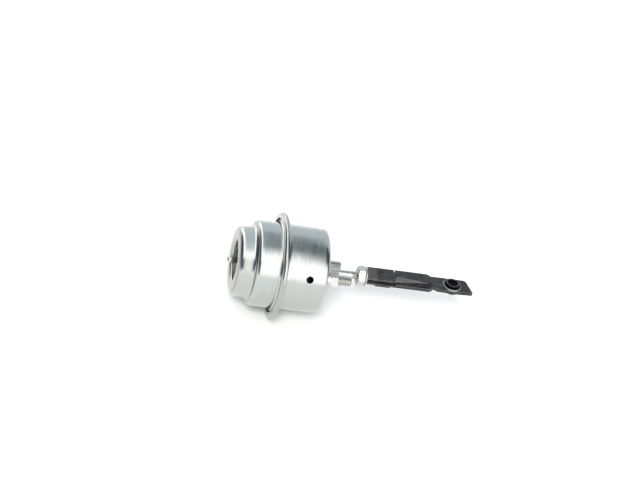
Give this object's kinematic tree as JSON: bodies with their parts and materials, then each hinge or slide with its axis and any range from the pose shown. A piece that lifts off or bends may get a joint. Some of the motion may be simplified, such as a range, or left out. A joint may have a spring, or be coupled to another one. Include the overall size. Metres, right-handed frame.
{
  "type": "wastegate actuator",
  "caption": "Diaphragm actuator: crimped round canister with a hose nipple and mounting studs, sprung sliding rod and a black link with an eye.",
  "frame": {"origin": "on the rod's axis, in the plane of the stud nuts' outer faces, where a bracket seats", "axes": "+X along the rod, away from the canister; +Z normal to the link's eye, towards its collar"},
  "size_m": [0.1542, 0.0652, 0.0652],
  "materials": {
    "zinc_shell": "bright zinc plate",
    "zinc_hardware": "zinc plate",
    "inner_steel": "plain",
    "spring_steel": "drawn wire",
    "black_rubber": "matt",
    "black_steel": "black phosphate"
  },
  "bodies": {
    "canister": {"dome_shell": "zinc_shell", "hose_nipple": "zinc_hardware", "cup_shell": "zinc_shell", "stud_plate": "inner_steel", "stud_front": "zinc_hardware", "stud_rear": "zinc_hardware", "stud_washer_front": "zinc_hardware", "stud_washer_rear": "zinc_hardware", "stud_nut_front": "zinc_hardware", "stud_nut_rear": "zinc_hardware", "rod_guide": "inner_steel", "stop_bumper": "black_rubber", "diaphragm": "black_rubber", "return_spring": "spring_steel"},
    "rod_and_link": {"rod": "zinc_hardware", "backing_plate": "inner_steel", "piston_cup": "inner_steel", "rivet_washer": "inner_steel", "lock_nut": "zinc_hardware", "adjuster_block": "black_steel", "link": "black_steel", "eye_bush": "black_steel"}
  },
  "joints": [
    {"name": "rod_slide", "type": "slide", "parent": "canister", "child": "rod_and_link", "axis": [1, 0, 0], "range_m": [-0.012, 0], "stiffness_N_per_m": 3000, "springref_m": 0.01, "deforming": ["return_spring", "diaphragm"]}
  ]
}
